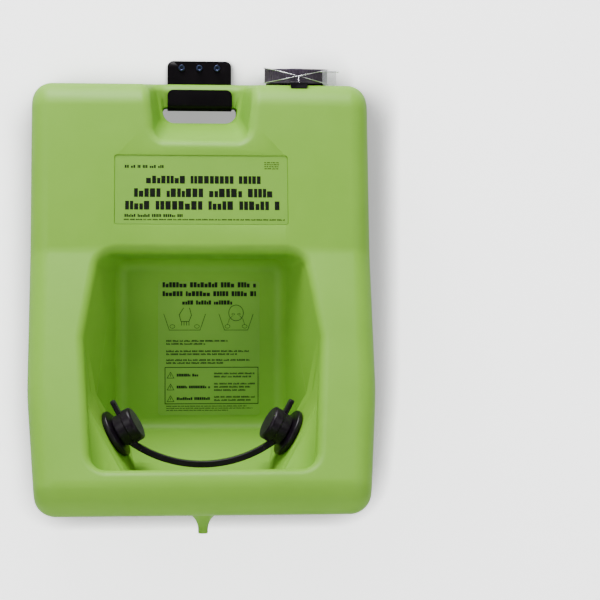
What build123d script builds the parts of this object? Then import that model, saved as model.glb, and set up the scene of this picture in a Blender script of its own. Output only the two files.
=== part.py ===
from build123d import *
import os
from math import asin, cos, degrees, pi, radians, sin, sqrt, tan

# Gravity-fed eyewash station that hangs on a wall bracket.
# The origin is on the wall, on the axis of the middle wall screw. +X is to the right of
# someone facing the station, +Y goes into the wall and +Z is up. Sizes are in millimetres.
# "depth" is a distance out from the wall, so a point at depth d has y = -d.

# ---- Driving dimensions --------------------------------------------------------------

# Tank: one rotationally moulded polyethylene shell
TANK_WIDTH = 554.0
TANK_HEIGHT = 688.2
TANK_DEPTH = 378.0
TANK_WALL = 6.0
TOP_FALL = 7.0              # degrees that the top falls towards the front
SIDE_DRAFT = 2.1            # degrees that each side leans in towards the front
LOWER_TAPER = 5.0           # degrees that each side draws in towards the bottom
LOWER_TAPER_HEIGHT = 176.0  # above the bottom, where that starts
LOWER_TAPER_RADIUS = 500.0
SHOULDER_DEPTH = 143.3      # depth of the sharp corner under the shoulder round
UPPER_FACE_HEIGHT = 269.8   # from the shoulder down to the crease
UPPER_FACE_LEAN = 56.7      # how far the upper face comes forward over that height
FRONT_BAND = 50.4           # upright band at the very front, above the bottom
SHOULDER_RADIUS = 52.0
CREASE_RADIUS = 60.0
CHIN_RADIUS = 38.0
BOTTOM_RADIUS = 35.0
SIDE_RADIUS = 32.0
BACK_RADIUS = 7.0

# Basin: the hollow in the front of the tank that catches the water
BASIN_BACK_DEPTH = 110.0
BASIN_CEILING_DROP = 13.0   # below the crease, at the back of the basin
BASIN_CEILING_RISE = 5.0    # degrees
BASIN_FLOOR_HEIGHT = 116.0  # above the bottom of the tank, at the back of the basin
SUMP_DEPTH = 290.0
SUMP_HEIGHT = 24.0          # above the bottom of the tank
RIM_SETBACK = 15.0          # lower edge of the opening, back from the front of the tank
RIM_HEIGHT = 76.0           # lower edge of the opening, above the bottom of the tank
BASIN_BACK_WIDTH = 268.0    # at the back, between the upright side walls
BASIN_FLARE = 18.2          # degrees that each upright side wall opens towards the front
BASIN_MOUTH_WIDTH = 336.0   # at the lower edge of the opening
BASIN_LOWER_FLARE = 2.0     # degrees that each lower side wall opens towards the front
BASIN_LOWER_LEAN = 5.7      # degrees that each lower side wall opens upwards
BASIN_CORNER_RADIUS = 24.0
BASIN_RIM_RADIUS = 15.0

# Drain spout under the basin
DRAIN_BORE = 10.0
DRAIN_LENGTH = 34.0
DRAIN_TIP_DIAMETER = 15.0
DRAIN_FLARE_RADIUS = 28.0
DRAIN_TUBE_WALL = 6.0

# Carry bar and hand hole at the top of the tank
BAR_DEPTH = 31.0
BAR_HEIGHT = 42.7           # at the wall
HAND_HOLE_GAP = 8.0         # on each side of the bracket's hook
HAND_HOLE_HEIGHT = 27.0
HAND_HOLE_TOP_RADIUS = 5.0
HAND_HOLE_FOOT_RADIUS = 20.0
NOTCH_MARGIN = 2.0          # on each side of the hand hole, at the sill
NOTCH_LEAN = 9.0            # degrees that each side of the notch opens upwards
NOTCH_FLARE = 8.0           # degrees that each side of the notch opens forwards
NOTCH_SLOPE = 18.9          # degrees that the sill falls towards the front
NOTCH_CORNER_RADIUS = 19.0
NOTCH_RIM_RADIUS = 17.0

# Wall bracket, bent from one steel strip, and its screws
BRACKET_SHEET = 3.0
BRACKET_WIDTH = 108.0
BRACKET_TOP = 12.0          # above the screw line
BRACKET_FLOOR = 70.5        # top face of the hook, below the screw line
BRACKET_LIP_HEIGHT = 31.5
BRACKET_BEND_RADIUS = 4.0
BRACKET_CORNER_RADIUS = 10.0
SCREW_SPACING = 30.0
SCREW_SHANK = 4.8
SCREW_NECK = 5.2            # plain part of the shank, in the bracket
SCREW_HEAD = 11.0
SCREW_HEAD_HEIGHT = 3.2
SCREW_IN_WALL = 38.0

# Nozzles, one on each side of the basin
NOZZLE_DEPTH = 248.7
NOZZLE_HEIGHT = 112.5       # seat centre above the bottom of the tank
NOZZLE_RIGHT = 138.5        # seat centre from the tank's middle
NOZZLE_RISE = 29.0          # degrees that the jet points up
NOZZLE_TOE = 9.0            # degrees that the jet points forward
NOZZLE_BORE = 24.0
PAD_HALF_LENGTH = 46.0      # flat part of the seat, each way from the nozzle
PAD_SLOPE = 50.0            # degrees that each end of the pad turns away
PAD_RADIUS = 10.0
SHANK_DIAMETER = 33.2
SHANK_BEHIND_NUT = 8.0
FLANGE_DIAMETER = 76.0
FLANGE_HEIGHT = 10.0
FLANGE_EDGE = 8.0
SPIGOT_DIAMETER = 40.0
SPIGOT_HEIGHT = 26.0
SPIGOT_BEAD = 0.6
GASKET_THICKNESS = 2.0
GASKET_DIAMETER = 66.0
LOCKNUT_FLATS = 50.0
LOCKNUT_HEIGHT = 10.0
SPRAY_PLATE_DIAMETER = 33.0
SPRAY_PLATE_THICKNESS = 2.5
SPRAY_HOLE = 3.2
SPRAY_HOLE_COUNT = 6
SPRAY_HOLE_CIRCLE = 15.0

# Rubber caps and the strap that pulls both off together
CAP_WALL = 6.2
CAP_END = 5.0
CAP_GAP = 0.3               # between the cap and the spigot's bead
CAP_EDGE_RADIUS = 5.0
CAP_WAIST_DEPTH = 2.0       # the collar at the far end stands out by this much
CAP_WAIST_LENGTH = 15.0     # from the cap's open edge to the collar
CAP_WAIST_RADIUS = 1.5
TAB_LENGTH = 21.0
TAB_WIDTH = 14.0
TAB_THICKNESS = 7.0
STRAP_THICKNESS = 10.0
STRAP_WIDTH = 16.0
STRAP_SAG_RADIUS = 190.0
STRAP_ROOT_LENGTH = 12.0    # lug on each cap that the strap grows out of

# Filling neck and screw cap on top
FILL_RIGHT = 160.0          # from the tank's middle
FILL_DEPTH = 60.0
NECK_DIAMETER = 84.0
NECK_WALL = 5.0
NECK_HEIGHT = 19.0
NECK_FLANGE_DIAMETER = 100.0
NECK_FLANGE_HEIGHT = 3.0
NECK_SKIRT = 12.0
FILL_CAP_DIAMETER = 105.0
FILL_CAP_TOP = 3.5
FILL_CAP_RIBS = 60
FILL_CAP_GROOVE_WIDTH = 2.2
FILL_CAP_GROOVE_DEPTH = 0.8
FILL_CAP_GAP = 0.5          # between the cap's skirt and the neck's flange
FILL_CAP_GASKET = 1.6
VENT_PLUG_DIAMETER = 22.0
VENT_PLUG_HEIGHT = 1.2
VENT_STEM_DIAMETER = 12.0
VENT_STEM_LENGTH = 7.0

# Tamper seal: a lug on the shoulder, a wire round the cap and a tag on the wire
SEAL_LUG_TOP_WIDTH = 30.0
SEAL_LUG_FOOT_WIDTH = 22.0
SEAL_LUG_LENGTH = 13.0
SEAL_LUG_HEIGHT = 6.0
SEAL_LUG_DROP = 12.0        # how far its foot reaches down the shoulder
SEAL_WIRE = 1.2
SEAL_WIRE_TILTS = (14.0, -12.0)
SEAL_CRIMP = 3.0
SEAL_TAG_WIDTH = 23.0
SEAL_TAG_HEIGHT = 22.5
SEAL_TAG_THICKNESS = 1.5
SEAL_TAG_BARREL = 3.8
SEAL_TAG_OFFSET = 5.0       # along the wire's tail, from the ring to the tag
SEAL_TAG_PLACE = 50.0       # degrees round the cap, from its right towards its front
SEAL_TAG_TURN = 5.0         # degrees that the tag's width turns towards the wall

# Labels
HEADER_WIDTH = 275.0
HEADER_HEIGHT = 113.5
HEADER_DROP = 119.5         # top of the recess below the top of the tank, along the face
HEADER_THICKNESS = 1.2
HEADER_RECESS = 2.6
LABEL_CORNER = 5.0
INSTRUCTION_WIDTH = 166.0
INSTRUCTION_HEIGHT = 219.0
INSTRUCTION_RIGHT = 13.6
INSTRUCTION_MARGIN = 11.0    # from the round under the basin's ceiling
INSTRUCTION_THICKNESS = 0.5

# Clearances
CAP_SEAT_GAP = 1.0          # between a rubber cap's edge and its flange, and over the spigot
RELIEF_CLEARANCE = 6.0      # beside the bracket, in the tank's relief
RUNNING_CLEARANCE = 0.3     # between curved faces that turn or slide past each other
FIT_CLEARANCE = 0.2         # round a screw, a shank or a neck
LABEL_GAP = 0.9             # round the header plate in its recess
GLUE_LINE = 0.05            # under the header plate

# ---- Places worked out from them -----------------------------------------------------

bracket_floor_z = -BRACKET_FLOOR
tank_top = bracket_floor_z + BAR_HEIGHT
tank_bottom = tank_top - TANK_HEIGHT
shoulder_z = tank_top - SHOULDER_DEPTH * tan(radians(TOP_FALL))
crease_z = shoulder_z - UPPER_FACE_HEIGHT
crease_depth = SHOULDER_DEPTH + UPPER_FACE_LEAN
relief_depth = BRACKET_SHEET + BRACKET_BEND_RADIUS
bar_front = relief_depth + BAR_DEPTH
lip_depth = bar_front + BRACKET_BEND_RADIUS
hand_hole_bottom = bracket_floor_z - HAND_HOLE_HEIGHT
relief_half = BRACKET_WIDTH / 2 + RELIEF_CLEARANCE
screw_places = (-SCREW_SPACING, 0, SCREW_SPACING)
hand_hole_width = BRACKET_WIDTH + 2 * HAND_HOLE_GAP
notch_sill_width = hand_hole_width + 2 * NOTCH_MARGIN

neck_skirt_radius = NECK_DIAMETER / 2 - NECK_FLANGE_HEIGHT
nozzle_top = GASKET_THICKNESS + FLANGE_HEIGHT + SPIGOT_HEIGHT
cap_inner_radius = SPIGOT_DIAMETER / 2 + SPIGOT_BEAD + CAP_GAP
cap_outer_radius = cap_inner_radius + CAP_WALL
cap_foot = GASKET_THICKNESS + FLANGE_HEIGHT + CAP_SEAT_GAP
cap_top = nozzle_top + CAP_SEAT_GAP + CAP_END
fill_cap_radius = FILL_CAP_DIAMETER / 2
fill_cap_foot = NECK_FLANGE_HEIGHT + FILL_CAP_GAP
neck_top = NECK_FLANGE_HEIGHT + NECK_HEIGHT
fill_cap_top = neck_top + FILL_CAP_GASKET + FILL_CAP_TOP
ceiling_back_z = crease_z - BASIN_CEILING_DROP
floor_back_z = tank_bottom + BASIN_FLOOR_HEIGHT


def unit(vector):
    return Vector(*vector).normalized()


# ---- Tank ----------------------------------------------------------------------------


def tank_body(inset):
    """The tank's outside, drawn in by inset on every side, with no basin and no bar."""
    outline = FilletPolyline(
        (0, tank_top),
        (-SHOULDER_DEPTH, shoulder_z),
        (-crease_depth, crease_z),
        (-TANK_DEPTH, tank_bottom + FRONT_BAND),
        (-TANK_DEPTH, tank_bottom),
        (0, tank_bottom),
        radius=[0, SHOULDER_RADIUS, CREASE_RADIUS, CHIN_RADIUS, BOTTOM_RADIUS, 0],
        close=True,
    )
    side = make_face(outline)
    if inset:
        side = offset(side, amount=-inset, kind=Kind.INTERSECTION)
    body = extrude(Plane.YZ * side, amount=TANK_WIDTH, both=True)
    beyond = TANK_DEPTH * tan(radians(SIDE_DRAFT)) + TANK_WALL
    half, foot = TANK_WIDTH / 2 - inset, tank_bottom - beyond
    taper_z = tank_bottom + LOWER_TAPER_HEIGHT
    narrow = half - (taper_z - foot) * tan(radians(LOWER_TAPER))
    front = FilletPolyline(
        (half, tank_top + beyond), (half, taper_z), (narrow, foot),
        (-narrow, foot), (-half, taper_z), (-half, tank_top + beyond),
        radius=[0, LOWER_TAPER_RADIUS, 0, 0, LOWER_TAPER_RADIUS, 0],
        close=True,
    )
    body = body & extrude(Plane.XZ * make_face(front), amount=TANK_DEPTH + TANK_WALL, taper=SIDE_DRAFT)
    back = body.faces().sort_by(Axis.Y)[-1]
    sides = [face for face in body.faces() if abs(face.normal_at().X) > cos(radians(45))]
    on_back = [edge.center() for edge in back.edges()]
    around = [edge for face in sides for edge in face.edges()]
    chain = [
        edge
        for edge in around
        if all((edge.center() - centre).length > 1 for centre in on_back)
        and sum((edge.center() - other.center()).length < 0.1 for other in around) == 1
    ]
    body = fillet(chain, radius=SIDE_RADIUS - inset)
    if inset < BACK_RADIUS - 1:
        back = body.faces().sort_by(Axis.Y)[-1]
        body = fillet(back.edges(), radius=BACK_RADIUS - inset)
    return body


def cut_by_planes(planes, grow):
    """The space behind all the planes, each moved outwards by grow."""
    space = Pos(0, -TANK_DEPTH / 2, tank_bottom + TANK_HEIGHT / 2) * Box(
        2 * TANK_WIDTH, 2 * TANK_DEPTH, 2 * TANK_HEIGHT
    )
    for point, outward in planes:
        plane = Plane(origin=point + outward * grow, z_dir=outward)
        space = split(space, bisect_by=plane, keep=Keep.BOTTOM)
    return space


def leaning_wall(right, corner, flare, lean):
    """A point on a side wall of the basin and the wall's outward direction."""
    forward = Vector(right * sin(radians(flare)), -cos(radians(flare)), 0)
    upward = Vector(right * sin(radians(lean)), 0, cos(radians(lean)))
    return corner, upward.cross(forward).normalized() * right


def basin_sides(right):
    """The upright side wall at the back and the lower one in front of it."""
    back = Vector(right * BASIN_BACK_WIDTH / 2, -BASIN_BACK_DEPTH, ceiling_back_z)
    mouth = Vector(right * BASIN_MOUTH_WIDTH / 2, RIM_SETBACK - TANK_DEPTH, tank_bottom + RIM_HEIGHT)
    return [
        leaning_wall(right, back, BASIN_FLARE, 0),
        leaning_wall(right, mouth, BASIN_LOWER_FLARE, BASIN_LOWER_LEAN),
    ]


def nozzle_seat(right):
    """Centre of a nozzle's seat on the tank and the way its jet points."""
    z = tank_bottom + NOZZLE_HEIGHT
    rise, toe = radians(NOZZLE_RISE), radians(NOZZLE_TOE)
    jet = Vector(-right * cos(rise) * cos(toe), -sin(toe), sin(rise) * cos(toe))
    return Vector(right * NOZZLE_RIGHT, -NOZZLE_DEPTH, z), jet


def basin_planes():
    rise = radians(BASIN_CEILING_RISE)
    back = Vector(0, -BASIN_BACK_DEPTH, floor_back_z)
    sump = Vector(0, -SUMP_DEPTH, tank_bottom + SUMP_HEIGHT)
    rim = Vector(0, RIM_SETBACK - TANK_DEPTH, tank_bottom + RIM_HEIGHT)
    floor = sump - back
    lip = rim - sump
    planes = [
        (back, Vector(0, 1, 0)),
        (Vector(0, -BASIN_BACK_DEPTH, ceiling_back_z), Vector(0, sin(rise), cos(rise))),
        (back, unit((0, -floor.Z, floor.Y))),
        (sump, unit((0, -lip.Z, lip.Y))),
        *basin_sides(-1),
        *basin_sides(1),
    ]
    return planes


def nozzle_pad(right, grow):
    """The raised seat for a nozzle in the basin's lower corner, with a slope at each end."""
    seat, jet = nozzle_seat(right)
    forward = (Vector(0, -1, 0) + jet * jet.Y).normalized()
    slope = radians(PAD_SLOPE)
    planes = [(seat, jet)]
    for way in (-1, 1):
        end = seat + forward * way * PAD_HALF_LENGTH
        planes.append((end, jet * cos(slope) + forward * way * sin(slope)))
    pad = cut_by_planes(planes, -grow)
    seat_face = pad.faces().sort_by_distance(seat - jet * grow)[0]
    ends = [edge for edge in seat_face.edges() if edge.distance_to(seat) < 1.5 * PAD_HALF_LENGTH]
    return fillet(ends, radius=PAD_RADIUS)


def basin_space(grow):
    space = cut_by_planes(basin_planes(), grow)
    front = space.faces().sort_by(Axis.Y)[0]
    mouth = [edge.center() for edge in front.edges()]
    inner = [
        edge
        for edge in space.edges()
        if all((edge.center() - centre).length > 1 for centre in mouth)
    ]
    space = fillet(inner, radius=BASIN_CORNER_RADIUS + grow)
    for right in (-1, 1):
        space = space - nozzle_pad(right, grow)
    return space


def notch_space(grow):
    """The scoop in front of the carry bar."""
    fall, flare = radians(NOTCH_SLOPE), radians(NOTCH_FLARE)
    sill = Vector(0, -bar_front, hand_hole_bottom)
    planes = [
        (Vector(0, -bar_front, 0), Vector(0, 1, 0)),
        (sill, Vector(0, sin(fall), -cos(fall))),
    ]
    lean = radians(NOTCH_LEAN)
    for right in (-1, 1):
        corner = Vector(right * notch_sill_width / 2, -bar_front, hand_hole_bottom)
        upwards = Vector(right * sin(lean), 0, cos(lean))
        forwards = Vector(right * sin(flare), -cos(flare), 0)
        planes.append((corner, upwards.cross(forwards).normalized() * right))
    space = cut_by_planes(planes, grow)
    top = tank_bottom + 1.4 * TANK_HEIGHT
    corners = [
        edge
        for edge in space.edges()
        if edge.center().Z < top and edge.center().Y > -TANK_DEPTH and abs(edge.center().X) > 1
    ]
    return fillet(corners, radius=NOTCH_CORNER_RADIUS + grow)


def hand_hole(grow):
    outline = Rectangle(hand_hole_width + 2 * grow, HAND_HOLE_HEIGHT + 2 * grow)
    corners = outline.vertices().sort_by(Axis.Y)
    outline = fillet(corners[:2], radius=HAND_HOLE_FOOT_RADIUS - grow)
    corners = outline.vertices().sort_by(Axis.Y)
    outline = fillet(corners[-2:], radius=HAND_HOLE_TOP_RADIUS + grow)
    middle = bracket_floor_z - HAND_HOLE_HEIGHT / 2
    length = TANK_WALL + bar_front + NOTCH_CORNER_RADIUS + grow
    hole = extrude(Plane.XZ * outline, amount=length)
    return Pos(0, TANK_WALL, middle) * hole


def bracket_relief(grow):
    bottom = hand_hole_bottom - RELIEF_CLEARANCE - grow
    top = tank_top + TANK_WALL
    size = (2 * (relief_half + grow), 2 * (relief_depth + grow), top - bottom)
    return Pos(0, 0, (top + bottom) / 2) * Box(*size)


def drain_spout():
    """The flared spout below the tank and the tube that joins the two bottoms."""
    tip = DRAIN_TIP_DIAMETER / 2
    root = tip + DRAIN_FLARE_RADIUS
    outline = [
        Polyline((0, -DRAIN_LENGTH), (0, TANK_WALL / 2), (root, TANK_WALL / 2), (root, 0)),
        CenterArc((root, -DRAIN_FLARE_RADIUS), DRAIN_FLARE_RADIUS, 90, 90),
        Polyline(
            (tip, -DRAIN_FLARE_RADIUS), (tip, 1 - DRAIN_LENGTH), (tip - 1, -DRAIN_LENGTH),
            (0, -DRAIN_LENGTH),
        ),
    ]
    return Pos(0, -SUMP_DEPTH, tank_bottom) * revolve(Plane.XZ * make_face(outline), axis=Axis.Z)


def drain_rod(radius):
    """A rod down the drain's axis, from inside the basin to below the spout."""
    return Pos(0, -SUMP_DEPTH, tank_bottom) * Cylinder(radius, 3 * DRAIN_LENGTH)


def header_plane():
    """On the upper face, at the header's middle, with its normal outwards."""
    down = unit((0, -UPPER_FACE_LEAN, -UPPER_FACE_HEIGHT))
    middle = Vector(0, -SHOULDER_DEPTH, shoulder_z) + down * (HEADER_DROP + HEADER_HEIGHT / 2)
    return Plane(origin=middle, x_dir=(1, 0, 0), z_dir=down.cross(Vector(1, 0, 0)))


def fill_plane():
    """On the tank's top, at the middle of the filling neck, with its normal upwards."""
    fall = radians(TOP_FALL)
    z = tank_top - FILL_DEPTH * tan(fall)
    return Plane(origin=(FILL_RIGHT, -FILL_DEPTH, z), x_dir=(1, 0, 0), z_dir=(0, -sin(fall), cos(fall)))


def nozzle_plane(right):
    """On a nozzle's seat, with its normal along the jet and X up the seat."""
    seat, jet = nozzle_seat(right)
    upwards = Vector(0, 0, 1) - jet * jet.Z
    return Plane(origin=seat, x_dir=upwards, z_dir=jet)


def meeting_edges(shape, outside, hollow):
    """Edges of shape where the wall of a hollow comes out through the outside."""
    skin = outside.shell()
    return [
        edge
        for edge in shape.edges()
        if skin.distance_to(edge @ 0.5) < 0.01 and hollow.distance_to(edge @ 0.5) < 0.01
    ]


def tank_shell():
    blank = tank_body(0)
    basin = basin_space(0)
    notch = notch_space(0)
    shape = blank - basin
    shape = fillet(meeting_edges(shape, blank, basin), radius=BASIN_RIM_RADIUS)
    shape = shape - notch
    shape = fillet(meeting_edges(shape, blank, notch), radius=NOTCH_RIM_RADIUS)
    cavity = tank_body(TANK_WALL) - basin_space(TANK_WALL) - notch_space(TANK_WALL)
    cavity = cavity - hand_hole(TANK_WALL) - bracket_relief(TANK_WALL)
    cavity = cavity - drain_rod(DRAIN_BORE / 2 + DRAIN_TUBE_WALL)
    shape = shape - cavity + drain_spout()
    shape = shape - hand_hole(0) - bracket_relief(0) - drain_rod(DRAIN_BORE / 2)
    neck_hole = Cylinder(neck_skirt_radius + FIT_CLEARANCE, 4 * TANK_WALL)
    shape = shape - fill_plane() * neck_hole
    recess = RectangleRounded(
        HEADER_WIDTH + 2 * LABEL_GAP, HEADER_HEIGHT + 2 * LABEL_GAP, LABEL_CORNER
    )
    shape = shape - extrude(header_plane() * recess, amount=HEADER_RECESS, both=True)
    for right in (-1, 1):
        shank_hole = Cylinder(SHANK_DIAMETER / 2 + FIT_CLEARANCE, 4 * TANK_WALL)
        room = Cylinder(FLANGE_DIAMETER / 2 + FIT_CLEARANCE, 2 * FLANGE_HEIGHT)
        shape = shape - nozzle_plane(right) * shank_hole
        shape = shape - nozzle_plane(right) * Pos(0, 0, FLANGE_HEIGHT) * room
    return shape


# ---- Labels --------------------------------------------------------------------------


def header_label():
    plate = RectangleRounded(HEADER_WIDTH, HEADER_HEIGHT, LABEL_CORNER - LABEL_GAP)
    floor = header_plane().offset(GLUE_LINE - HEADER_RECESS)
    return extrude(floor * plate, amount=HEADER_THICKNESS)


def instruction_label():
    sheet = RectangleRounded(INSTRUCTION_WIDTH, INSTRUCTION_HEIGHT, LABEL_CORNER)
    top = ceiling_back_z - BASIN_CORNER_RADIUS - INSTRUCTION_MARGIN
    middle = (INSTRUCTION_RIGHT, -BASIN_BACK_DEPTH, top - INSTRUCTION_HEIGHT / 2)
    wall = Plane(origin=middle, x_dir=(1, 0, 0), z_dir=(0, -1, 0))
    return extrude(wall * sheet, amount=INSTRUCTION_THICKNESS)


# ---- Wall bracket and screws ---------------------------------------------------------


def wall_bracket():
    lip_middle = -lip_depth - BRACKET_SHEET / 2
    centre_line = FilletPolyline(
        (-BRACKET_SHEET / 2, BRACKET_TOP),
        (-BRACKET_SHEET / 2, bracket_floor_z - BRACKET_SHEET / 2),
        (lip_middle, bracket_floor_z - BRACKET_SHEET / 2),
        (lip_middle, bracket_floor_z - BRACKET_SHEET + BRACKET_LIP_HEIGHT),
        radius=BRACKET_BEND_RADIUS + BRACKET_SHEET / 2,
    )
    section = Plane.YZ * trace(centre_line, line_width=BRACKET_SHEET)
    strip = extrude(section, amount=BRACKET_WIDTH / 2, both=True)
    corners = [edge for edge in strip.edges().filter_by(Axis.Y) if edge.length < BRACKET_SHEET + 1]
    strip = fillet(corners, radius=BRACKET_CORNER_RADIUS)
    for x in screw_places:
        strip = strip - Pos(x, 0, 0) * Rot(90, 0, 0) * Cylinder(
            SCREW_NECK / 2 + FIT_CLEARANCE, 4 * BRACKET_SHEET
        )
    return strip


def wall_screws():
    """Three hexagon socket screws, driven into the wall through the bracket."""
    head = Cylinder(SCREW_HEAD / 2, SCREW_HEAD_HEIGHT, align=(Align.CENTER, Align.CENTER, Align.MIN))
    head = fillet(head.edges().sort_by(Axis.Z)[-1], radius=SCREW_HEAD_HEIGHT / 3)
    socket = extrude(RegularPolygon(SCREW_SHANK / 2, 6, major_radius=False), amount=SCREW_HEAD_HEIGHT)
    head = head - Pos(0, 0, SCREW_HEAD_HEIGHT / 3) * socket
    neck = Cylinder(SCREW_NECK / 2, BRACKET_SHEET, align=(Align.CENTER, Align.CENTER, Align.MAX))
    shank = Cylinder(SCREW_SHANK / 2, SCREW_IN_WALL, align=(Align.CENTER, Align.CENTER, Align.MAX))
    screw = head + neck + Pos(0, 0, -BRACKET_SHEET) * shank
    screw = Plane(origin=(0, -BRACKET_SHEET, 0), z_dir=(0, -1, 0)) * screw
    return Compound([(Pos(x, 0, 0) * screw).solid() for x in screw_places])


# ---- Nozzles -------------------------------------------------------------------------


def turned(*outline):
    """A solid of revolution about Z from lines through (radius, height) points."""
    return revolve(Plane.XZ * make_face(Polyline(*outline, close=True)), axis=Axis.Z)


def nozzle_body():
    """Threaded shank, dished flange and spigot, in one moulding. Z runs along the jet."""
    bore, shank = NOZZLE_BORE / 2, SHANK_DIAMETER / 2
    spigot, flange = SPIGOT_DIAMETER / 2, FLANGE_DIAMETER / 2
    foot = -TANK_WALL - LOCKNUT_HEIGHT - SHANK_BEHIND_NUT
    edge_top = GASKET_THICKNESS + FLANGE_EDGE
    flange_top = GASKET_THICKNESS + FLANGE_HEIGHT
    plate_seat = nozzle_top - SPRAY_PLATE_THICKNESS - SPIGOT_BEAD
    plate_room = SPRAY_PLATE_DIAMETER / 2 + RUNNING_CLEARANCE / 3
    bead = spigot + SPIGOT_BEAD
    dish_middle = ((flange + spigot) / 2, edge_top + (flange_top - edge_top) / 4)
    start = Polyline(
        (bore, plate_seat), (bore, foot), (shank, foot), (shank, GASKET_THICKNESS),
        (flange, GASKET_THICKNESS), (flange, edge_top),
    )
    dish = ThreePointArc((flange, edge_top), dish_middle, (spigot, flange_top))
    finish = Polyline(
        (spigot, flange_top), (spigot, nozzle_top - 4), (bead, nozzle_top - 3),
        (bead, nozzle_top - 1), (spigot, nozzle_top), (plate_room, nozzle_top),
        (plate_room, plate_seat), (bore, plate_seat),
    )
    body = revolve(Plane.XZ * make_face([start, dish, finish]), axis=Axis.Z)
    rim = [edge for edge in body.edges() if abs(edge.length - pi * FLANGE_DIAMETER) < 0.1]
    return fillet(rim, radius=FLANGE_EDGE / 3)


def nozzle_gasket():
    inner = SHANK_DIAMETER / 2 + FIT_CLEARANCE
    outer = GASKET_DIAMETER / 2
    return turned((inner, 0), (outer, 0), (outer, GASKET_THICKNESS), (inner, GASKET_THICKNESS))


def nozzle_locknut():
    nut = extrude(RegularPolygon(LOCKNUT_FLATS / 2, 6, major_radius=False), amount=-LOCKNUT_HEIGHT)
    nut = nut - Cylinder(SHANK_DIAMETER / 2 + RUNNING_CLEARANCE / 3, 4 * LOCKNUT_HEIGHT)
    return Pos(0, 0, -TANK_WALL) * nut


def spray_plate():
    top = nozzle_top - SPIGOT_BEAD
    plate = Cylinder(
        SPRAY_PLATE_DIAMETER / 2, SPRAY_PLATE_THICKNESS, align=(Align.CENTER, Align.CENTER, Align.MAX)
    )
    holes = PolarLocations(SPRAY_HOLE_CIRCLE / 2, SPRAY_HOLE_COUNT).locations + [Location()]
    for place in holes:
        plate = plate - place * Cylinder(SPRAY_HOLE / 2, 4 * SPRAY_PLATE_THICKNESS)
    return Pos(0, 0, top) * plate


# ---- Rubber caps and strap -----------------------------------------------------------


def cap_middle():
    return (cap_foot + cap_top) / 2


def strap_root():
    """Where the strap's middle line meets the right cap."""
    seat = nozzle_plane(1)
    return seat.from_local_coords(Vector(-cap_outer_radius, 0, cap_middle() - STRAP_THICKNESS / 2))


def strap_band(start, end):
    """The strap between two angles from straight down, in degrees."""
    root = strap_root()
    centre = (0, root.Z + sqrt(STRAP_SAG_RADIUS**2 - root.X**2))
    arcs = [
        CenterArc(centre, STRAP_SAG_RADIUS + side * STRAP_THICKNESS / 2, 270 + start, end - start)
        for side in (-1, 1)
    ]
    ends = [Line(arcs[0] @ t, arcs[1] @ t) for t in (0, 1)]
    band = extrude(Plane.XZ * make_face(arcs + ends), amount=STRAP_WIDTH / 2, both=True)
    band = fillet(band.edges().filter_by(GeomType.CIRCLE), radius=STRAP_THICKNESS / 5)
    return Pos(0, root.Y, 0) * band


def strap_end_angle():
    return degrees(asin(strap_root().X / STRAP_SAG_RADIUS) - STRAP_ROOT_LENGTH / STRAP_SAG_RADIUS)


def rubber_cap(right):
    """A cup over the spigot, with a pull tab above and the strap's root below."""
    seat = nozzle_plane(right)
    outer = cap_outer_radius
    waist, collar_foot = outer - CAP_WAIST_DEPTH, cap_foot + CAP_WAIST_LENGTH
    outline = FilletPolyline(
        (0, cap_foot), (waist, cap_foot), (waist, collar_foot), (outer, collar_foot),
        (outer, cap_top), (0, cap_top),
        radius=[0, CAP_WAIST_RADIUS, CAP_WAIST_RADIUS / 2, CAP_WAIST_RADIUS, CAP_EDGE_RADIUS, 0],
        close=True,
    )
    cup = revolve(Plane.XZ * make_face(outline), axis=Axis.Z)
    reach = outer + TAB_LENGTH
    tab = Pos(reach / 2, 0, cap_middle() - TAB_THICKNESS / 2) * Box(reach, TAB_WIDTH, TAB_THICKNESS)
    tip = [edge for edge in tab.edges().filter_by(Axis.Z) if edge.center().X > outer]
    tab = fillet(tip, radius=TAB_WIDTH / 3)
    tab = fillet(tab.faces().sort_by(Axis.X)[-1].edges(), radius=TAB_THICKNESS / 4)
    root_angle = strap_end_angle() + degrees(STRAP_ROOT_LENGTH / STRAP_SAG_RADIUS)
    inside = degrees(CAP_WALL / STRAP_SAG_RADIUS)
    angles = sorted((right * strap_end_angle(), right * (root_angle + inside)))
    room = Cylinder(cap_inner_radius, 2 * (cap_top - CAP_END))
    return seat * (cup + tab) + strap_band(*angles) - seat * room


def pull_strap():
    return strap_band(-strap_end_angle(), strap_end_angle())


# ---- Filling neck and cap ------------------------------------------------------------


def fill_neck():
    outer, flange = NECK_DIAMETER / 2, NECK_FLANGE_DIAMETER / 2
    inner = outer - NECK_WALL
    return turned(
        (inner, -NECK_SKIRT), (neck_skirt_radius, -NECK_SKIRT), (neck_skirt_radius, 0), (flange, 0),
        (flange, NECK_FLANGE_HEIGHT), (outer, NECK_FLANGE_HEIGHT), (outer, neck_top), (inner, neck_top),
    )


def fill_cap_gasket():
    outer = NECK_DIAMETER / 2
    inner = outer - NECK_WALL
    top = neck_top + FILL_CAP_GASKET
    return turned((inner, neck_top), (outer, neck_top), (outer, top), (inner, top))


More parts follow.
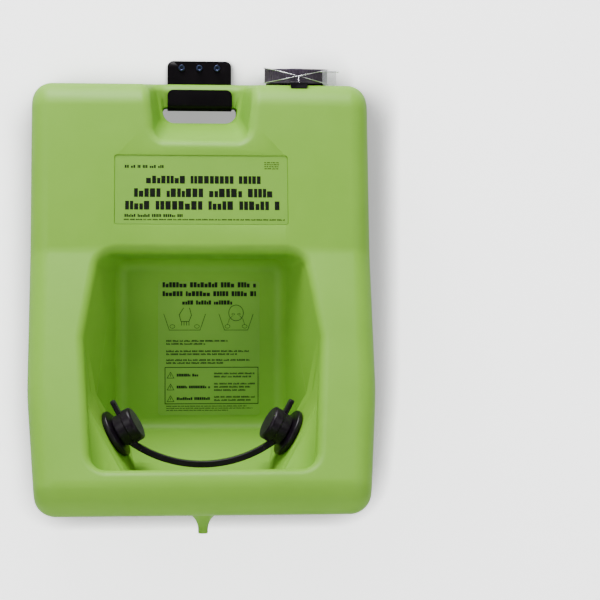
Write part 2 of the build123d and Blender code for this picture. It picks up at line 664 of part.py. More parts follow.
def fill_cap():
    inner = NECK_DIAMETER / 2 + RUNNING_CLEARANCE
    underside = neck_top + FILL_CAP_GASKET
    stem = VENT_STEM_DIAMETER / 2 + FIT_CLEARANCE
    cap = turned(
        (stem, underside), (inner, underside), (inner, fill_cap_foot), (fill_cap_radius, fill_cap_foot),
        (fill_cap_radius, fill_cap_top), (stem, fill_cap_top),
    )
    top_edge = [edge for edge in cap.edges() if abs(edge.length - pi * FILL_CAP_DIAMETER) < 0.1]
    cap = fillet(ShapeList(top_edge).sort_by(Axis.Z)[-1], radius=FILL_CAP_GROOVE_DEPTH)
    height = fill_cap_top - fill_cap_foot - 2 * FILL_CAP_TOP
    groove = Pos(0, 0, fill_cap_foot + FILL_CAP_TOP + height / 2) * Box(
        2 * FILL_CAP_GROOVE_DEPTH, FILL_CAP_GROOVE_WIDTH, height
    )
    return cap - PolarLocations(fill_cap_radius, FILL_CAP_RIBS) * groove


def vent_plug():
    stem, head = VENT_STEM_DIAMETER / 2, VENT_PLUG_DIAMETER / 2
    foot, top = fill_cap_top - VENT_STEM_LENGTH, fill_cap_top + VENT_PLUG_HEIGHT
    plug = turned(
        (0, foot), (stem, foot), (stem, fill_cap_top), (head, fill_cap_top), (head, top), (0, top)
    )
    return fillet(plug.edges().sort_by(Axis.Z)[-1], radius=VENT_PLUG_HEIGHT / 3)


# ---- Tamper seal ---------------------------------------------------------------------


def wire_ring_radius():
    """Large enough that the steeper ring still clears the cap."""
    steepest = max(abs(tilt) for tilt in SEAL_WIRE_TILTS)
    return (fill_cap_radius + RUNNING_CLEARANCE + SEAL_WIRE) / cos(radians(steepest))


def ring_middle():
    return (fill_cap_foot + fill_cap_top) / 2


def tag_plane():
    """At the near end of the wire's tail, X along the tail, Y upright and Z away from the cap."""
    place, turn = radians(SEAL_TAG_PLACE), radians(SEAL_TAG_TURN)
    x, y = wire_ring_radius() * cos(place), -wire_ring_radius() * sin(place)
    on_ring = Vector(x, y, ring_middle() - x * tan(radians(SEAL_WIRE_TILTS[1])))
    return Plane(
        origin=fill_plane().from_local_coords(on_ring),
        x_dir=(cos(turn), sin(turn), 0),
        z_dir=(sin(turn), -cos(turn), 0),
    )


def lug_anchor():
    """Where the wire goes into the lug."""
    return Vector(0, -wire_ring_radius() - SEAL_LUG_LENGTH / 2, SEAL_LUG_HEIGHT)


def rod(start, end, radius):
    along = end - start
    return Plane(origin=start, z_dir=along) * Cylinder(
        radius, along.length, align=(Align.CENTER, Align.CENTER, Align.MIN)
    )


def seal_lug():
    """A moulded lug whose foot follows the tank's shoulder."""
    top, foot = SEAL_LUG_TOP_WIDTH / 2, SEAL_LUG_FOOT_WIDTH / 2
    outline = Polyline(
        (-top, SEAL_LUG_HEIGHT), (top, SEAL_LUG_HEIGHT), (foot, -SEAL_LUG_DROP), (-foot, -SEAL_LUG_DROP),
        close=True,
    )
    back = Plane.XZ.offset(wire_ring_radius() + SEAL_WIRE)
    lug = extrude(back * make_face(outline), amount=SEAL_LUG_LENGTH)
    lug = fillet(lug.faces().sort_by(Axis.Z)[-1].edges(), radius=SEAL_LUG_HEIGHT / 4)
    crossing = Vector(0, -wire_ring_radius(), ring_middle())
    hole = rod(crossing, lug_anchor() + (lug_anchor() - crossing) / 2, SEAL_WIRE / 2 + FIT_CLEARANCE)
    return fill_plane() * (lug - hole) - tank_body(0)


def seal_wire():
    """Two turns of wire that cross in front of the cap, with a tail to the lug and one to the tag."""
    ring = Torus(wire_ring_radius(), SEAL_WIRE / 2)
    first, second = (Pos(0, 0, ring_middle()) * Rot(0, tilt, 0) * ring for tilt in SEAL_WIRE_TILTS)
    crossing = Vector(0, -wire_ring_radius(), ring_middle())
    anchor = lug_anchor()
    wire = first + second + rod(crossing, anchor + (anchor - crossing) / 4, SEAL_WIRE / 2)
    length = SEAL_TAG_OFFSET + SEAL_TAG_WIDTH + SEAL_CRIMP
    tail = rod(Vector(0, 0, 0), Vector(length, 0, 0), SEAL_WIRE / 2)
    tail = tail + Pos(length, 0, 0) * Sphere(SEAL_CRIMP / 2)
    return fill_plane() * wire + tag_plane() * tail


def seal_tag():
    """A thin plastic tag with a barrel along its top that the wire runs through."""
    barrel_radius = SEAL_TAG_BARREL / 2
    barrel = Rot(0, 90, 0) * Cylinder(
        barrel_radius, SEAL_TAG_WIDTH, align=(Align.CENTER, Align.CENTER, Align.MIN)
    )
    plate = Pos(0, -SEAL_TAG_HEIGHT / 2, 0) * Box(
        SEAL_TAG_WIDTH, SEAL_TAG_HEIGHT, SEAL_TAG_THICKNESS, align=(Align.MIN, Align.CENTER, Align.CENTER)
    )
    corners = [edge for edge in plate.edges().filter_by(Axis.Z) if edge.center().Y < -1]
    tag = barrel + fillet(corners, radius=SEAL_TAG_BARREL)
    bore = Rot(0, 90, 0) * Cylinder(SEAL_WIRE / 2 + RUNNING_CLEARANCE, 4 * SEAL_TAG_WIDTH)
    return tag_plane() * Pos(SEAL_TAG_OFFSET, 0, 0) * (tag - bore)


# ---- Build and export ----------------------------------------------------------------

nodes = {
    "tank_shell": tank_shell(),
    "header_label": header_label(),
    "instruction_label": instruction_label(),
    "wall_bracket": wall_bracket(),
    "wall_screws": wall_screws(),
    "pull_strap": pull_strap(),
    "fill_neck": fill_plane() * fill_neck(),
    "fill_cap_gasket": fill_plane() * fill_cap_gasket(),
    "fill_cap": fill_plane() * fill_cap(),
    "vent_plug": fill_plane() * vent_plug(),
    "seal_lug": seal_lug(),
    "seal_wire": seal_wire(),
    "seal_tag": seal_tag(),
}
for side, right in (("left", -1), ("right", 1)):
    seat = nozzle_plane(right)
    nodes["nozzle_body_" + side] = seat * nozzle_body()
    nodes["nozzle_gasket_" + side] = seat * nozzle_gasket()
    nodes["nozzle_locknut_" + side] = seat * nozzle_locknut()
    nodes["spray_plate_" + side] = seat * spray_plate()
    nodes["rubber_cap_" + side] = rubber_cap(right)

os.makedirs("parts", exist_ok=True)
for name, shape in nodes.items():
    export_step(shape, "parts/" + name + ".step")
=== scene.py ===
import random
from math import cos, pi, radians, sin

import bmesh
import bpy
from mathutils import Matrix, Vector


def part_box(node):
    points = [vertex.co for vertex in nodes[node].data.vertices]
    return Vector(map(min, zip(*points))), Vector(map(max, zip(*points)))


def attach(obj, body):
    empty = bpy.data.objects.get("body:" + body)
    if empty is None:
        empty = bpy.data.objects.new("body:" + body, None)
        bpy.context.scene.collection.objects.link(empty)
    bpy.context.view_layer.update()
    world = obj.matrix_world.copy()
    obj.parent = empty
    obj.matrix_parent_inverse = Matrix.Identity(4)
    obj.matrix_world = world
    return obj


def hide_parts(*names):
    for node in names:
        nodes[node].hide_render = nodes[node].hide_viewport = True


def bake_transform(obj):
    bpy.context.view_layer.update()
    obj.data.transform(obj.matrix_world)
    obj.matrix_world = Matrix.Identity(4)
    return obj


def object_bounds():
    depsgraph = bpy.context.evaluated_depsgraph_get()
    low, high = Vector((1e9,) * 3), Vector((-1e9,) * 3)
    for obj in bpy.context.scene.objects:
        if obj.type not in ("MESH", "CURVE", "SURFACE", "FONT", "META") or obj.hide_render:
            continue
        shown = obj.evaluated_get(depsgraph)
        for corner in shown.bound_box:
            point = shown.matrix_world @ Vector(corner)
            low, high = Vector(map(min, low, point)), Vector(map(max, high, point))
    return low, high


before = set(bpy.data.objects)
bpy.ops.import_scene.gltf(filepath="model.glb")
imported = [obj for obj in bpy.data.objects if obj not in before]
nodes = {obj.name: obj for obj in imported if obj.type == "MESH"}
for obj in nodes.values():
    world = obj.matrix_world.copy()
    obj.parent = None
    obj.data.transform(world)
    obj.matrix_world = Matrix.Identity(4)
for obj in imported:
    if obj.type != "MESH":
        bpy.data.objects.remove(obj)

cad_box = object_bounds()
mm = 0.001


# ---- Tank -------------------------------------------------------------------------------
# One hollow shell of green polyethylene, moulded in a rotating oven. The mould leaves soft
# rounds, a faint orange-peel skin and slow changes of colour where the wall is thicker.


def merged_copy(node, name):
    """A copy of a CAD node with shared corners, smooth over its rounds and sharp at its edges."""
    mesh = bpy.data.meshes.new(name)
    bm = bmesh.new()
    bm.from_mesh(nodes[node].data)
    bmesh.ops.remove_doubles(bm, verts=bm.verts, dist=0.002 * mm)
    bmesh.ops.dissolve_degenerate(bm, edges=bm.edges, dist=0.001 * mm)
    bm.to_mesh(mesh)
    bm.free()
    for face in mesh.polygons:
        face.use_smooth = True
    mesh.set_sharp_from_angle(angle=radians(32))
    piece = bpy.data.objects.new(name, mesh)
    bpy.context.scene.collection.objects.link(piece)
    even = piece.modifiers.new("even normals", "WEIGHTED_NORMAL")
    even.keep_sharp = True
    even.weight = 80
    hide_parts(node)
    return piece


def new_material(name):
    """A material with only its Principled shader, and a function that adds a node with its values
    set.
    """
    material = bpy.data.materials.new(name)
    material.use_nodes = True
    tree = material.node_tree
    shader = tree.nodes["Principled BSDF"]

    def add(kind, **values):
        node = tree.nodes.new(kind)
        for key, value in values.items():
            if hasattr(node, key):
                setattr(node, key, value)
            else:
                node.inputs[key.replace("_", " ")].default_value = value
        return node

    return material, tree, shader, add


def node_group(name, inputs, outputs):
    """An empty shader group with float or colour sockets."""
    group = bpy.data.node_groups.new(name, "ShaderNodeTree")
    for label, kind, value in inputs:
        socket = group.interface.new_socket(name=label, in_out="INPUT", socket_type=kind)
        socket.default_value = value
    for label, kind in outputs:
        group.interface.new_socket(name=label, in_out="OUTPUT", socket_type=kind)
    return group, group.nodes.new("NodeGroupInput"), group.nodes.new("NodeGroupOutput")


FLOAT, COLOUR = "NodeSocketFloat", "NodeSocketColor"


def build_moulded_skin():
    """Cloudy colour, uneven gloss and a fine orange-peel height for moulded plastic and rubber."""
    group, given, result = node_group(
        "moulded skin",
        [
            ("Colour", COLOUR, (0.5, 0.5, 0.5, 1)),
            ("Cloud Colour", COLOUR, (0.4, 0.4, 0.4, 1)),
            ("Cloud Scale", FLOAT, 6.0),
            ("Grain Scale", FLOAT, 900.0),
            ("Gloss", FLOAT, 0.4),
            ("Gloss Change", FLOAT, 0.1),
        ],
        [("Colour", COLOUR), ("Roughness", FLOAT), ("Height", FLOAT)],
    )
    tree = group.nodes
    place = tree.new("ShaderNodeTexCoord")
    cloud = tree.new("ShaderNodeTexNoise")
    cloud.inputs["Detail"].default_value = 4
    cloud.inputs["Roughness"].default_value = 0.6
    spread = tree.new("ShaderNodeMapRange")
    spread.inputs["From Min"].default_value = 0.35
    spread.inputs["From Max"].default_value = 0.65
    blend = tree.new("ShaderNodeMix")
    blend.data_type = "RGBA"
    grain = tree.new("ShaderNodeTexNoise")
    grain.inputs["Detail"].default_value = 3
    smear = tree.new("ShaderNodeTexNoise")
    smear.inputs["Scale"].default_value = 35
    smear.inputs["Detail"].default_value = 5
    centred = tree.new("ShaderNodeMath")
    centred.operation = "SUBTRACT"
    centred.inputs[1].default_value = 0.5
    gloss = tree.new("ShaderNodeMath")
    gloss.operation = "MULTIPLY_ADD"
    link = group.links.new
    for texture in (cloud, grain, smear):
        link(place.outputs["Object"], texture.inputs["Vector"])
    link(given.outputs["Cloud Scale"], cloud.inputs["Scale"])
    link(given.outputs["Grain Scale"], grain.inputs["Scale"])
    link(cloud.outputs["Fac"], spread.inputs["Value"])
    link(spread.outputs["Result"], blend.inputs["Factor"])
    link(given.outputs["Colour"], blend.inputs["A"])
    link(given.outputs["Cloud Colour"], blend.inputs["B"])
    link(smear.outputs["Fac"], centred.inputs[0])
    link(centred.outputs[0], gloss.inputs[0])
    link(given.outputs["Gloss Change"], gloss.inputs[1])
    link(given.outputs["Gloss"], gloss.inputs[2])
    link(blend.outputs["Result"], result.inputs["Colour"])
    link(gloss.outputs[0], result.inputs["Roughness"])
    link(grain.outputs["Fac"], result.inputs["Height"])
    return group


moulded_skin = build_moulded_skin()


def moulded_material(name, colour, cloud, cloud_scale, grain_scale, grain_depth, gloss, change):
    """A material for a moulded piece, from its two colours, its grain and its gloss."""
    material, tree, shader, add = new_material(name)
    skin = add("ShaderNodeGroup", node_tree=moulded_skin)
    skin.inputs["Colour"].default_value = (*colour, 1)
    skin.inputs["Cloud Colour"].default_value = (*cloud, 1)
    skin.inputs["Cloud Scale"].default_value = cloud_scale
    skin.inputs["Grain Scale"].default_value = grain_scale
    skin.inputs["Gloss"].default_value = gloss
    skin.inputs["Gloss Change"].default_value = change
    bump = add("ShaderNodeBump", Strength=1.0, Distance=grain_depth)
    tree.links.new(skin.outputs["Colour"], shader.inputs["Base Color"])
    tree.links.new(skin.outputs["Roughness"], shader.inputs["Roughness"])
    tree.links.new(skin.outputs["Height"], bump.inputs["Height"])
    tree.links.new(bump.outputs["Normal"], shader.inputs["Normal"])
    return material, shader


tank_green = (0.195, 0.435, 0.037)
tank_green_deep = (0.178, 0.408, 0.032)
tank_skin, tank_shader = moulded_material(
    "tank polyethylene", tank_green, tank_green_deep, 7.0, 650.0, 0.05 * mm, 0.46, 0.12
)
tank_shader.inputs["Specular IOR Level"].default_value = 0.22
tank = merged_copy("tank_shell", "moulded_tank")
tank.data.materials.append(tank_skin)
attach(tank, "tank")


# ---- Header plate -----------------------------------------------------------------------
# A green printed plate that sits in its own recess on the upper face. Its print is black
# ink: three wide rows and several fine ones, here as plain blocks that spell nothing.

label_film, _ = moulded_material(
    "printed film", (0.185, 0.41, 0.037), (0.17, 0.39, 0.033), 9.0, 1400.0, 0.015 * mm, 0.36, 0.1
)
header = merged_copy("header_label", "header_plate")
header.data.materials.append(label_film)
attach(header, "tank")

ink, ink_shader = moulded_material(
    "screen ink", (0.003, 0.005, 0.003), (0.007, 0.011, 0.005), 120.0, 2500.0, 0.01 * mm, 0.45, 0.15
)
ink_shader.inputs["Specular IOR Level"].default_value = 0.12
ink_height = 0.06 * mm


def front_place(node):
    """Turns (right, up, out) in metres from the middle of a plate's front into the frame."""
    mesh = nodes[node].data
    fronts = [face for face in mesh.polygons if face.normal.y < -0.5]
    out = max(fronts, key=lambda face: face.area).normal.copy()
    low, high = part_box(node)
    right = Vector((1, 0, 0))
    up = out.cross(right).normalized()
    middle = (low + high) / 2
    reach = max((vertex.co - middle).dot(out) for vertex in mesh.vertices)
    turn = Matrix((right, up, out)).transposed().to_4x4()
    return Matrix.Translation(middle + out * reach) @ turn


def ink_block(bm, left, right, low, high):
    """One flat rectangle of ink."""
    size = Matrix.Diagonal((right - left, high - low, ink_height, 1))
    place = Matrix.Translation(((left + right) / 2, (low + high) / 2, ink_height / 2))
    bmesh.ops.create_cube(bm, size=1, matrix=place @ size)


def ink_row(bm, draw, left, right, low, high, word=(3, 8), weight=0.78):
    """A row of small upright blocks, grouped like words, that fills left to right."""
    tall = high - low
    x = left
    while x < right:
        for _ in range(draw.randint(*word)):
            wide = tall * draw.uniform(0.45, 0.8)
            if x + wide > right:
                return
            drop = tall * draw.choice((0, 0, 0, 0.28))
            ink_block(bm, x, x + wide * weight, low, high - drop)
            x += wide
        x += tall * 0.55


def print_piece(name, bm, node):
    """Makes the ink rows one piece on the front of a label."""
    mesh = bpy.data.meshes.new(name)
    bmesh.ops.transform(bm, matrix=front_place(node), verts=bm.verts)
    bmesh.ops.recalc_face_normals(bm, faces=bm.faces)
    bm.to_mesh(mesh)
    bm.free()
    piece = bpy.data.objects.new(name, mesh)
    bpy.context.scene.collection.objects.link(piece)
    piece.data.materials.append(ink)
    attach(piece, "tank")
    return piece


draw = random.Random(11)
header_print = bmesh.new()
wide_rows = ((10, 22.8, -88, 98), (-12.4, 2, -107, 116), (-33.2, -18.8, -121, 130))
for low, high, left, right in wide_rows:
    ink_row(header_print, draw, left * mm, right * mm, low * mm, high * mm, (5, 9), 0.8)
ink_row(header_print, draw, -122 * mm, -58 * mm, 35.5 * mm, 40.5 * mm, (2, 3))
for row in range(4):
    top = (46.5 - 3.4 * row) * mm
    ink_row(header_print, draw, 101 * mm, 125 * mm, top - 1.8 * mm, top, (2, 5))
ink_row(header_print, draw, -122 * mm, -28 * mm, -45.3 * mm, -40.3 * mm, (4, 7))
ink_row(header_print, draw, -123 * mm, 133 * mm, -50.5 * mm, -48.1 * mm, (3, 7))
print_piece("header_print", header_print, "header_label")


# ---- Instruction sheet ------------------------------------------------------------------
# A printed film on the basin's back wall: headings, two line drawings of the steps, pairs
# of fine rows and a framed box with three plain triangles. The rows are blocks of ink.

instruction = merged_copy("instruction_label", "instruction_sheet")
instruction.data.materials.append(label_film)
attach(instruction, "tank")


def ink_line(bm, start, end, width):
    """A stroke of ink between two points on a sheet."""
    a, b = Vector((*start, 0)), Vector((*end, 0))
    along = (b - a).normalized()
    turn = along.to_track_quat("X", "Z").to_matrix().to_4x4()
    size = Matrix.Diagonal(((b - a).length + width, width, ink_height, 1))
    middle = (a + b) / 2 + Vector((0, 0, ink_height / 2))
    bmesh.ops.create_cube(bm, size=1, matrix=Matrix.Translation(middle) @ turn @ size)


def ink_path(bm, points, width, closed=False):
    pairs = list(zip(points, points[1:] + points[:1]))
    for start, end in pairs if closed else pairs[:-1]:
        ink_line(bm, start, end, width)


def ring_points(x, y, rx, ry, count=20, start=0.0, sweep=2 * pi):
    steps = count if sweep >= 2 * pi else count - 1
    angles = [start + sweep * step / steps for step in range(count)]
    return [(x + rx * cos(angle), y + ry * sin(angle)) for angle in angles]


sheet_print = bmesh.new()
low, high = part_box("instruction_label")
heading = (high.z - low.z) / 2
centre = 2.4 * mm
half = 78 * mm


def from_heading(down, tall=0.0):
    """The height of a row's foot, from how far its middle lies below the sheet's top edge."""
    return heading - (down + tall / 2) * mm


for down, tall, left, right in ((6, 8.6, -78, 76), (20.5, 8.2, -78, 77), (34.9, 7, -46, 44)):
    low = from_heading(down, tall)
    start, end = centre + left * mm, centre + right * mm
    ink_row(sheet_print, draw, start, end, low, low + tall * mm, (4, 8), 0.82)

# The left drawing shows a hand at the caps, and the right one a face over the jets.
floor_y = from_heading(88)
for side, wide in ((-1, 34), (1, 28)):
    x = centre + side * 42 * mm
    bowl = [(x - wide * mm, floor_y + 34 * mm), (x - (wide - 9) * mm, floor_y + 8 * mm),
            (x + (wide - 9) * mm, floor_y + 8 * mm), (x + wide * mm, floor_y + 34 * mm)]
    ink_path(sheet_print, bowl, 0.9 * mm)
    for nozzle in (-1, 1):
        spout = x + nozzle * (wide - 14) * mm
        cap_ring = ring_points(spout, floor_y + 14 * mm, 4 * mm, 3 * mm, 12)
        ink_path(sheet_print, cap_ring, 0.7 * mm, closed=True)
    if side < 0:
        outline = ((-2, 44), (-9, 33), (-6, 22), (7, 22), (11, 32), (8, 44))
        palm = [(x + across * mm, floor_y + up * mm) for across, up in outline]
        ink_path(sheet_print, palm, 1.0 * mm)
        for finger in range(4):
            finger_x = x + (finger * 4 - 5) * mm
            knuckle, tip = (finger_x, floor_y + 22 * mm), (finger_x, floor_y + 16 * mm)
            ink_line(sheet_print, knuckle, tip, 1.0 * mm)
    else:
        head = ring_points(x, floor_y + 36 * mm, 12 * mm, 13 * mm)
        ink_path(sheet_print, head, 1.0 * mm, closed=True)
        for eye in (-1, 1):
            ring = ring_points(x + eye * 4.6 * mm, floor_y + 34 * mm, 2.4 * mm, 1.4 * mm, 10)
            ink_path(sheet_print, ring, 0.6 * mm, closed=True)
            rise = ((14, 17), (11, 26), (6, 31))
            stream = [(x + eye * across * mm, floor_y + up * mm) for across, up in rise]
            ink_path(sheet_print, stream, 0.7 * mm)

for down, right in ((97.7, 29), (102.5, -8), (114.5, 65), (119.4, 44), (129, 65), (133.8, 22)):
    low = from_heading(down, 2.9)
    ink_row(sheet_print, draw, centre - 72 * mm, centre + right * mm, low, low + 2.9 * mm, (3, 7))

box_high, box_low = from_heading(141), from_heading(200.4)
corners = [(centre - 74 * mm, box_low), (centre + half, box_low), (centre + half, box_high),
           (centre - 74 * mm, box_high)]
ink_path(sheet_print, corners, 1.3 * mm, closed=True)
for down, bold_end, fine_rows in ((153.6, -19, 2), (173, 0, 3), (192, 1, 2)):
    y, x = from_heading(down), centre - 65 * mm
    triangle = [(x - 5.5 * mm, y - 4.8 * mm), (x + 5.5 * mm, y - 4.8 * mm), (x, y + 4.8 * mm)]
    ink_path(sheet_print, triangle, 0.9 * mm, closed=True)
    ink_line(sheet_print, (x, y - 2 * mm), (x, y + 1.2 * mm), 0.9 * mm)
    start, end = centre - 55 * mm, centre + bold_end * mm
    ink_row(sheet_print, draw, start, end, y - 2.3 * mm, y + 2.3 * mm, (6, 10), 0.85)
    for row in range(fine_rows):
        low = y + (2.6 * (fine_rows - 1) - 5.2 * row - 1.4) * mm
        end = centre + (74 - 7 * row) * mm
        ink_row(sheet_print, draw, centre + 6 * mm, end, low, low + 2.8 * mm, (4, 8))
for row, right in enumerate((60, 70, 30)):
    low = from_heading(204.4 + 3.4 * row, 1.6)
    ink_row(sheet_print, draw, centre - 72 * mm, centre + right * mm, low, low + 1.6 * mm, (4, 9))
print_piece("instruction_print", sheet_print, "instruction_label")


# ---- Wall bracket and screws ------------------------------------------------------------
# A 3 mm steel strip folded into a hook and powder coated black. Three socket screws with
# dark blue zinc plating hold it to the wall.

powder, powder_shader = moulded_material(
    "black powder coat", (0.0016, 0.0006, 0.0018), (0.003, 0.0012, 0.0033),
    40.0, 2600.0, 0.03 * mm, 0.45, 0.2
)
powder_shader.inputs["Specular IOR Level"].default_value = 0.12
bracket = merged_copy("wall_bracket", "hook_bracket")
bracket.data.materials.append(powder)
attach(bracket, "wall_mount")

zinc, zinc_shader = moulded_material(
    "blue zinc plate", (0.018, 0.026, 0.07), (0.035, 0.045, 0.10),
    220.0, 3000.0, 0.01 * mm, 0.34, 0.25
)
zinc_shader.inputs["Metallic"].default_value = 0.75
screws = merged_copy("wall_screws", "socket_screws")
screws.data.materials.append(zinc)
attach(screws, "wall_mount")


# ---- Nozzles ----------------------------------------------------------------------------
# Each nozzle is a black plastic fitting: a flange on a rubber washer, a spigot and a
# threaded shank that a hexagonal nut pulls tight inside the tank. Its plate is stainless.

black_plastic, black_shader = moulded_material(
    "black moulded plastic", (0.004, 0.002, 0.0045), (0.007, 0.004, 0.008),
    60.0, 1500.0, 0.02 * mm, 0.34, 0.18
)
black_shader.inputs["Specular IOR Level"].default_value = 0.25
rubber, rubber_shader = moulded_material(
    "black rubber", (0.004, 0.0016, 0.0045), (0.008, 0.0035, 0.009),
    45.0, 1900.0, 0.03 * mm, 0.38, 0.22
)
rubber_shader.inputs["Specular IOR Level"].default_value = 0.2
rubber_shader.inputs["Sheen Weight"].default_value = 0.06
rubber_shader.inputs["Sheen Roughness"].default_value = 0.4
rubber_shader.inputs["Sheen Tint"].default_value = (0.8, 0.6, 0.9, 1)


def brushed_material(name, colour, dull, scale, gloss):
    """Bare metal with fine marks along the frame's X axis."""
    material, tree, shader, add = new_material(name)
    place = add("ShaderNodeTexCoord")
    stretch = add("ShaderNodeMapping", Scale=(0.05, 1, 1))
    marks = add("ShaderNodeTexNoise", Scale=scale, Detail=4.0)
    tint = add("ShaderNodeMix", data_type="RGBA")
    tint.inputs["A"].default_value = (*colour, 1)
    tint.inputs["B"].default_value = (*dull, 1)
    rough = add("ShaderNodeMapRange", To_Min=gloss - 0.08, To_Max=gloss + 0.12)
    bump = add("ShaderNodeBump", Strength=0.6, Distance=0.01 * mm)
    link = tree.links.new
    link(place.outputs["Object"], stretch.inputs["Vector"])
    link(stretch.outputs["Vector"], marks.inputs["Vector"])
    link(marks.outputs["Fac"], tint.inputs["Factor"])
    link(marks.outputs["Fac"], rough.inputs["Value"])
    link(marks.outputs["Fac"], bump.inputs["Height"])
    link(tint.outputs["Result"], shader.inputs["Base Color"])
    link(rough.outputs["Result"], shader.inputs["Roughness"])
    link(bump.outputs["Normal"], shader.inputs["Normal"])
    shader.inputs["Metallic"].default_value = 1.0
    return material


stainless = brushed_material(
    "brushed stainless", (0.62, 0.61, 0.60), (0.48, 0.48, 0.48), 1800.0, 0.3
)

for side in ("left", "right"):
    for kind, finish, slot in (
        ("nozzle_body", black_plastic, "black_plastic"),
        ("nozzle_gasket", rubber, "black_rubber"),
        ("nozzle_locknut", black_plastic, "black_plastic"),
        ("spray_plate", stainless, "spray_steel"),
    ):
        fitting = merged_copy(kind + "_" + side, kind + "_" + side + "_finished")
        fitting.data.materials.append(finish)
        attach(fitting, "tank")


# ---- Rubber caps ------------------------------------------------------------------------
# A moulded rubber cup pushed over each spigot, with a pull tab on top and a root below
# where the strap joins.

for side in ("left", "right"):
    cap = merged_copy("rubber_cap_" + side, "pull_off_cap_" + side)
    cap.data.materials.append(rubber)
    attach(cap, side + "_cap")


# ---- Pull strap -------------------------------------------------------------------------
# The strap between the caps is the same rubber, and it bends as it is pulled. Here its copy
# is sliced across its length and cut at its middle into two halves, fixed where they lie.

for side, right in (("left", -1), ("right", 1)):
    half_strap = merged_copy("pull_strap", "pull_strap_" + side)
    bm = bmesh.new()
    bm.from_mesh(half_strap.data)
    low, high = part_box("pull_strap")
    steps = 24
    reach = high.x
    for step in range(1, steps):
        cut = Vector((right * reach * step / steps, 0, 0))
        bmesh.ops.bisect_plane(
            bm, geom=bm.verts[:] + bm.edges[:] + bm.faces[:], plane_co=cut, plane_no=(1, 0, 0)
        )
    whole = bm.verts[:] + bm.edges[:] + bm.faces[:]
    bmesh.ops.bisect_plane(
        bm, geom=whole, plane_co=(0, 0, 0), plane_no=(-right, 0, 0), clear_outer=True
    )
    bm.to_mesh(half_strap.data)
    bm.free()
    half_strap.data.materials.append(rubber)
    middle = (low + high) / 2
    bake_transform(half_strap)


# ---- Filling neck and screw cap ---------------------------------------------------------
# The neck is a black insert in the tank's top. The cap is a dark purple-grey moulding with
# fine grip ribs, a rubber liner and a small vent plug in its middle.

cap_grey, cap_shader = moulded_material(
    "purple grey plastic", (0.050, 0.035, 0.058), (0.075, 0.055, 0.085),
    90.0, 1400.0, 0.04 * mm, 0.45, 0.2
)
cap_shader.inputs["Specular IOR Level"].default_value = 0.2
for node, finish, slot, body in (
    ("fill_neck", black_plastic, "black_plastic", "tank"),
    ("fill_cap_gasket", rubber, "black_rubber", "cap_liner"),
    ("fill_cap", cap_grey, "cap_plastic", "screw_cap"),
    ("vent_plug", black_plastic, "black_plastic", "screw_cap"),
):
    fitting = merged_copy(node, node + "_finished")
    fitting.data.materials.append(finish)
    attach(fitting, body)


# ---- Tamper seal ------------------------------------------------------------------------
# A black lug on the shoulder anchors two turns of thin bright wire round the cap, and the
# wire's tail carries a small translucent tag.

bright_wire = brushed_material("bright wire", (0.86, 0.86, 0.88), (0.66, 0.66, 0.70), 2500.0, 0.22)
tag_plastic, tag_shader = moulded_material(
    "clear tag", (0.56, 0.56, 0.60), (0.50, 0.50, 0.56), 80.0, 900.0, 0.02 * mm, 0.3, 0.15
)
tag_shader.inputs["Alpha"].default_value = 0.32
for node, finish, slot, body in (
    ("seal_lug", black_plastic, "black_plastic", "tank"),
    ("seal_wire", bright_wire, "seal_steel", "tank"),
    ("seal_tag", tag_plastic, "clear_plastic", "tag"),
):
    fitting = merged_copy(node, node + "_finished")
    fitting.data.materials.append(finish)
    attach(fitting, body)


# ---- Studio -----------------------------------------------------------------------------
# A pale wall just behind the station and a pale floor below it, under one wide soft light
# from above and weaker ones at the sides.

pale, tree, shader, add = new_material("pale paint")
speckle = add("ShaderNodeTexNoise", Scale=3.0, Detail=3.0)
place = add("ShaderNodeTexCoord")
tone = add("ShaderNodeMix", data_type="RGBA")
tone.inputs["A"].default_value = (0.78, 0.78, 0.79, 1)
tone.inputs["B"].default_value = (0.82, 0.82, 0.83, 1)
tree.links.new(place.outputs["Object"], speckle.inputs["Vector"])
tree.links.new(speckle.outputs["Fac"], tone.inputs["Factor"])
shader.inputs["Roughness"].default_value = 0.8

# The paint glows evenly to the camera only. Right of and below the station, a painted shadow
# darkens the glow: occlusion sought towards the upper left, raised to a power, kept above 0.2.
shade = add("ShaderNodeAmbientOcclusion", Distance=0.07)
shade.samples = 12
upper_left = add("ShaderNodeCombineXYZ", X=-0.42, Y=-0.62, Z=0.66)
watched = add("ShaderNodeLightPath")
glow = add("ShaderNodeMath", operation="MULTIPLY")
strength = add("ShaderNodeMath", operation="MULTIPLY")
strength.inputs[1].default_value = 2.3
painted_shadow_falloff = add("ShaderNodeMath", operation="POWER")
painted_shadow_falloff.inputs[1].default_value = 5.0
painted_shadow = add("ShaderNodeMath", operation="MAXIMUM")
painted_shadow.inputs[1].default_value = 0.2
# The same painted shadow also darkens the paint's base colour.
painted_shadow_tint = add("ShaderNodeMix", data_type="RGBA", blend_type="MULTIPLY")
painted_shadow_tint.inputs["Factor"].default_value = 1.0
tree.links.new(upper_left.outputs["Vector"], shade.inputs["Normal"])
tree.links.new(shade.outputs["AO"], painted_shadow_falloff.inputs[0])
tree.links.new(painted_shadow_falloff.outputs[0], painted_shadow.inputs[0])
tree.links.new(painted_shadow.outputs[0], glow.inputs[0])
tree.links.new(tone.outputs["Result"], painted_shadow_tint.inputs["A"])
tree.links.new(painted_shadow.outputs[0], painted_shadow_tint.inputs["B"])
tree.links.new(painted_shadow_tint.outputs["Result"], shader.inputs["Base Color"])
tree.links.new(watched.outputs["Is Camera Ray"], glow.inputs[1])
tree.links.new(glow.outputs[0], strength.inputs[0])
tree.links.new(strength.outputs[0], shader.inputs["Emission Strength"])
shader.inputs["Emission Color"].default_value = (1, 1, 1, 1)

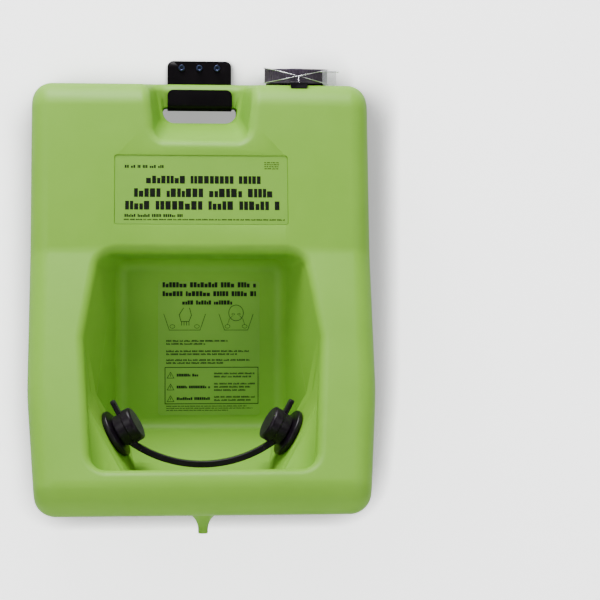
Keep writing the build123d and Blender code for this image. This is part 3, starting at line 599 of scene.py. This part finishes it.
# Seen from behind, the sheet is clear, so that the station's back can be looked at.
side_seen = add("ShaderNodeNewGeometry")
clear = add("ShaderNodeBsdfTransparent")
either = add("ShaderNodeMixShader")
tree.links.new(side_seen.outputs["Backfacing"], either.inputs["Fac"])
tree.links.new(shader.outputs["BSDF"], either.inputs[1])
tree.links.new(clear.outputs["BSDF"], either.inputs[2])
tree.links.new(either.outputs["Shader"], tree.nodes["Material Output"].inputs["Surface"])


def stage_sheet(name, centre, right, up, out):
    """A flat sheet of the studio, facing out."""
    mesh = bpy.data.meshes.new(name)
    bm = bmesh.new()
    bmesh.ops.create_grid(bm, x_segments=1, y_segments=1, size=1)
    turn = Matrix((right, up, out)).transposed().to_4x4()
    bmesh.ops.transform(bm, matrix=Matrix.Translation(centre) @ turn, verts=bm.verts)
    bm.normal_update()
    bm.to_mesh(mesh)
    bm.free()
    sheet = bpy.data.objects.new(name, mesh)
    bpy.context.scene.collection.objects.link(sheet)
    sheet.data.materials.append(pale)


wall_gap = 1.0 * mm
floor_z = cad_box[0].z - 0.6
half_width, reach = 4, 3
stage_sheet(
    "studio_wall",
    Vector((0, wall_gap, floor_z + reach)),
    Vector((half_width, 0, 0)),
    Vector((0, 0, reach)),
    Vector((0, -1, 0)),
)
stage_sheet(
    "studio_floor",
    Vector((0, wall_gap - reach, floor_z)),
    Vector((half_width, 0, 0)),
    Vector((0, reach, 0)),
    Vector((0, 0, 1)),
)


def soft_light(name, place, aim, size, power, colour=(1, 1, 1)):
    lamp = bpy.data.lights.new(name, "AREA")
    lamp.shape = "RECTANGLE"
    lamp.size, lamp.size_y = size
    lamp.energy = power
    lamp.color = colour
    holder = bpy.data.objects.new(name, lamp)
    bpy.context.scene.collection.objects.link(holder)
    holder.location = place
    holder.rotation_mode = "QUATERNION"
    holder.rotation_quaternion = (Vector(aim) - Vector(place)).to_track_quat("-Z", "Y")


middle = Vector((0, -0.2, -0.38))
soft_light("overhead", (-0.45, -0.8, 2.4), middle, (1.9, 1.3), 165)
soft_light("front left", (-2.2, -2.6, 0.5), middle, (1.4, 1.8), 32)
soft_light("front right", (2.2, -2.4, 0.2), middle, (1.2, 1.8), 20)

world = bpy.data.worlds.new("studio")
world.use_nodes = True
world.node_tree.nodes["Background"].inputs["Color"].default_value = (1.0, 1.0, 1.0, 1)
world.node_tree.nodes["Background"].inputs["Strength"].default_value = 0.25
bpy.context.scene.world = world

camera = bpy.data.objects.new("camera", bpy.data.cameras.new("camera"))
bpy.context.scene.collection.objects.link(camera)
camera.data.sensor_width = 36
camera.data.lens = 98.5
camera.location = (-0.055, -2.8, -0.394)
camera.rotation_mode = "XYZ"
camera.rotation_euler = (radians(90), 0, radians(-4.636))
bpy.context.scene.camera = camera
